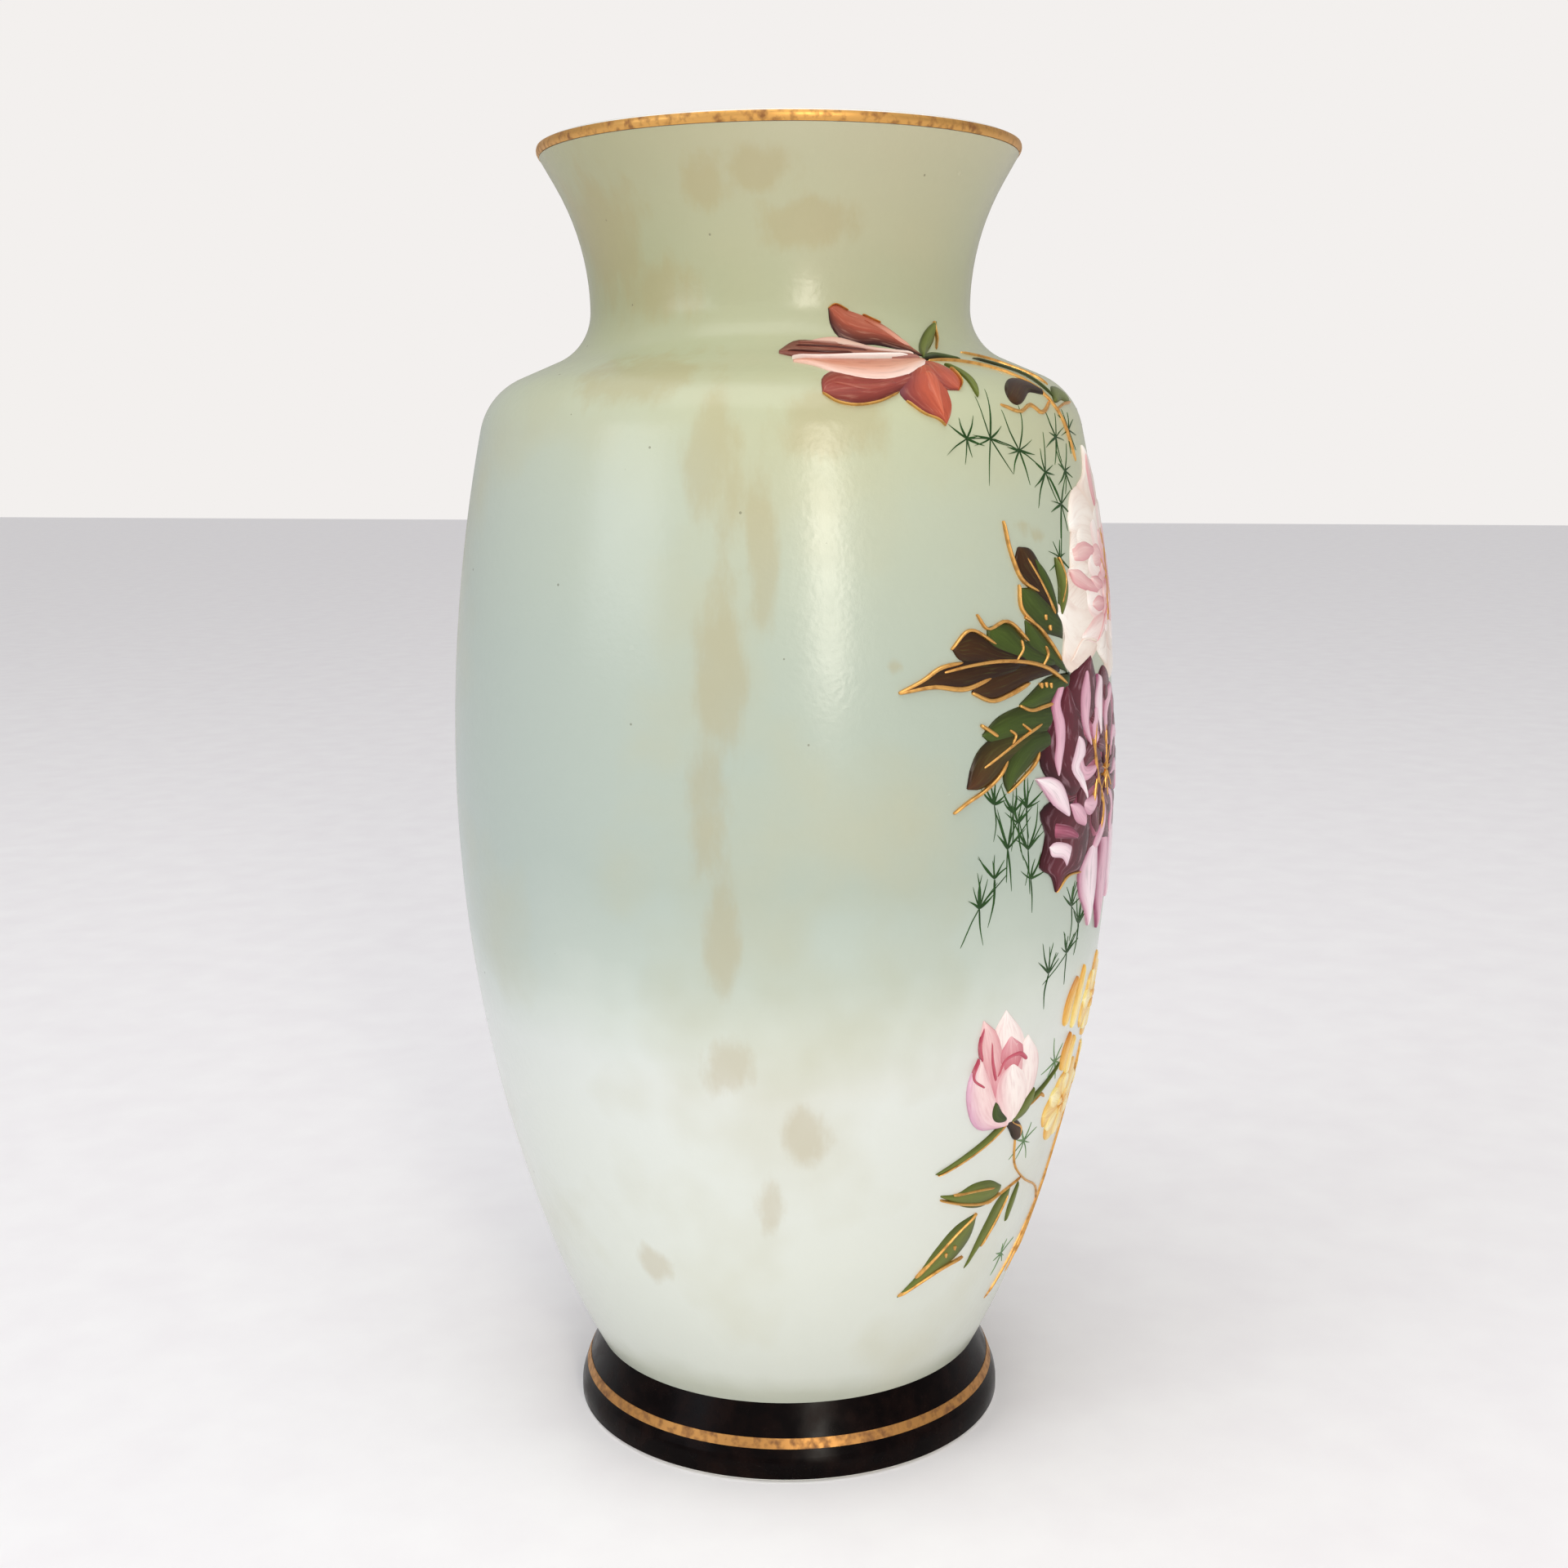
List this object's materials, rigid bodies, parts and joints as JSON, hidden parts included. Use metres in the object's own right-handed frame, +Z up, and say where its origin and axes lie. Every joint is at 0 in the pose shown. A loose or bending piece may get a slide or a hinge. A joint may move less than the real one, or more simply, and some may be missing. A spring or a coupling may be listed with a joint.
{
  "type": "flower vase",
  "caption": "Opal glass flower vase with an egg-shaped body, flared neck, dark round foot, gilt bands and raised enamel flowers.",
  "frame": {"origin": "centre of the ring that the vase stands on, at the level of the table", "axes": "+Z up along the vase's axis; the middle of the painted flowers faces -Y"},
  "size_m": [0.1712, 0.172, 0.33],
  "materials": {
    "opal_glass": "glossy",
    "sage_ground": "glossy",
    "brown_enamel": "glossy",
    "worn_gilt": "worn",
    "rust_enamel": "satin",
    "pink_enamel": "satin",
    "olive_enamel": "satin",
    "white_enamel": "satin",
    "plum_enamel": "satin",
    "yellow_enamel": "satin"
  },
  "bodies": {
    "root": {"glass_body": "opal_glass", "glass_foot": "opal_glass", "ground_coat": "sage_ground", "foot_enamel": "brown_enamel", "foot_gilt_band": "worn_gilt", "rim_gilt_band": "worn_gilt", "rosebud_rust": "rust_enamel", "rosebud_pink": "pink_enamel", "rosebud_side": "pink_enamel", "leaves": "olive_enamel", "stems": "worn_gilt", "white_peony": "white_enamel", "plum_peony": "plum_enamel", "yellow_blossoms": "yellow_enamel"}
  },
  "joints": []
}
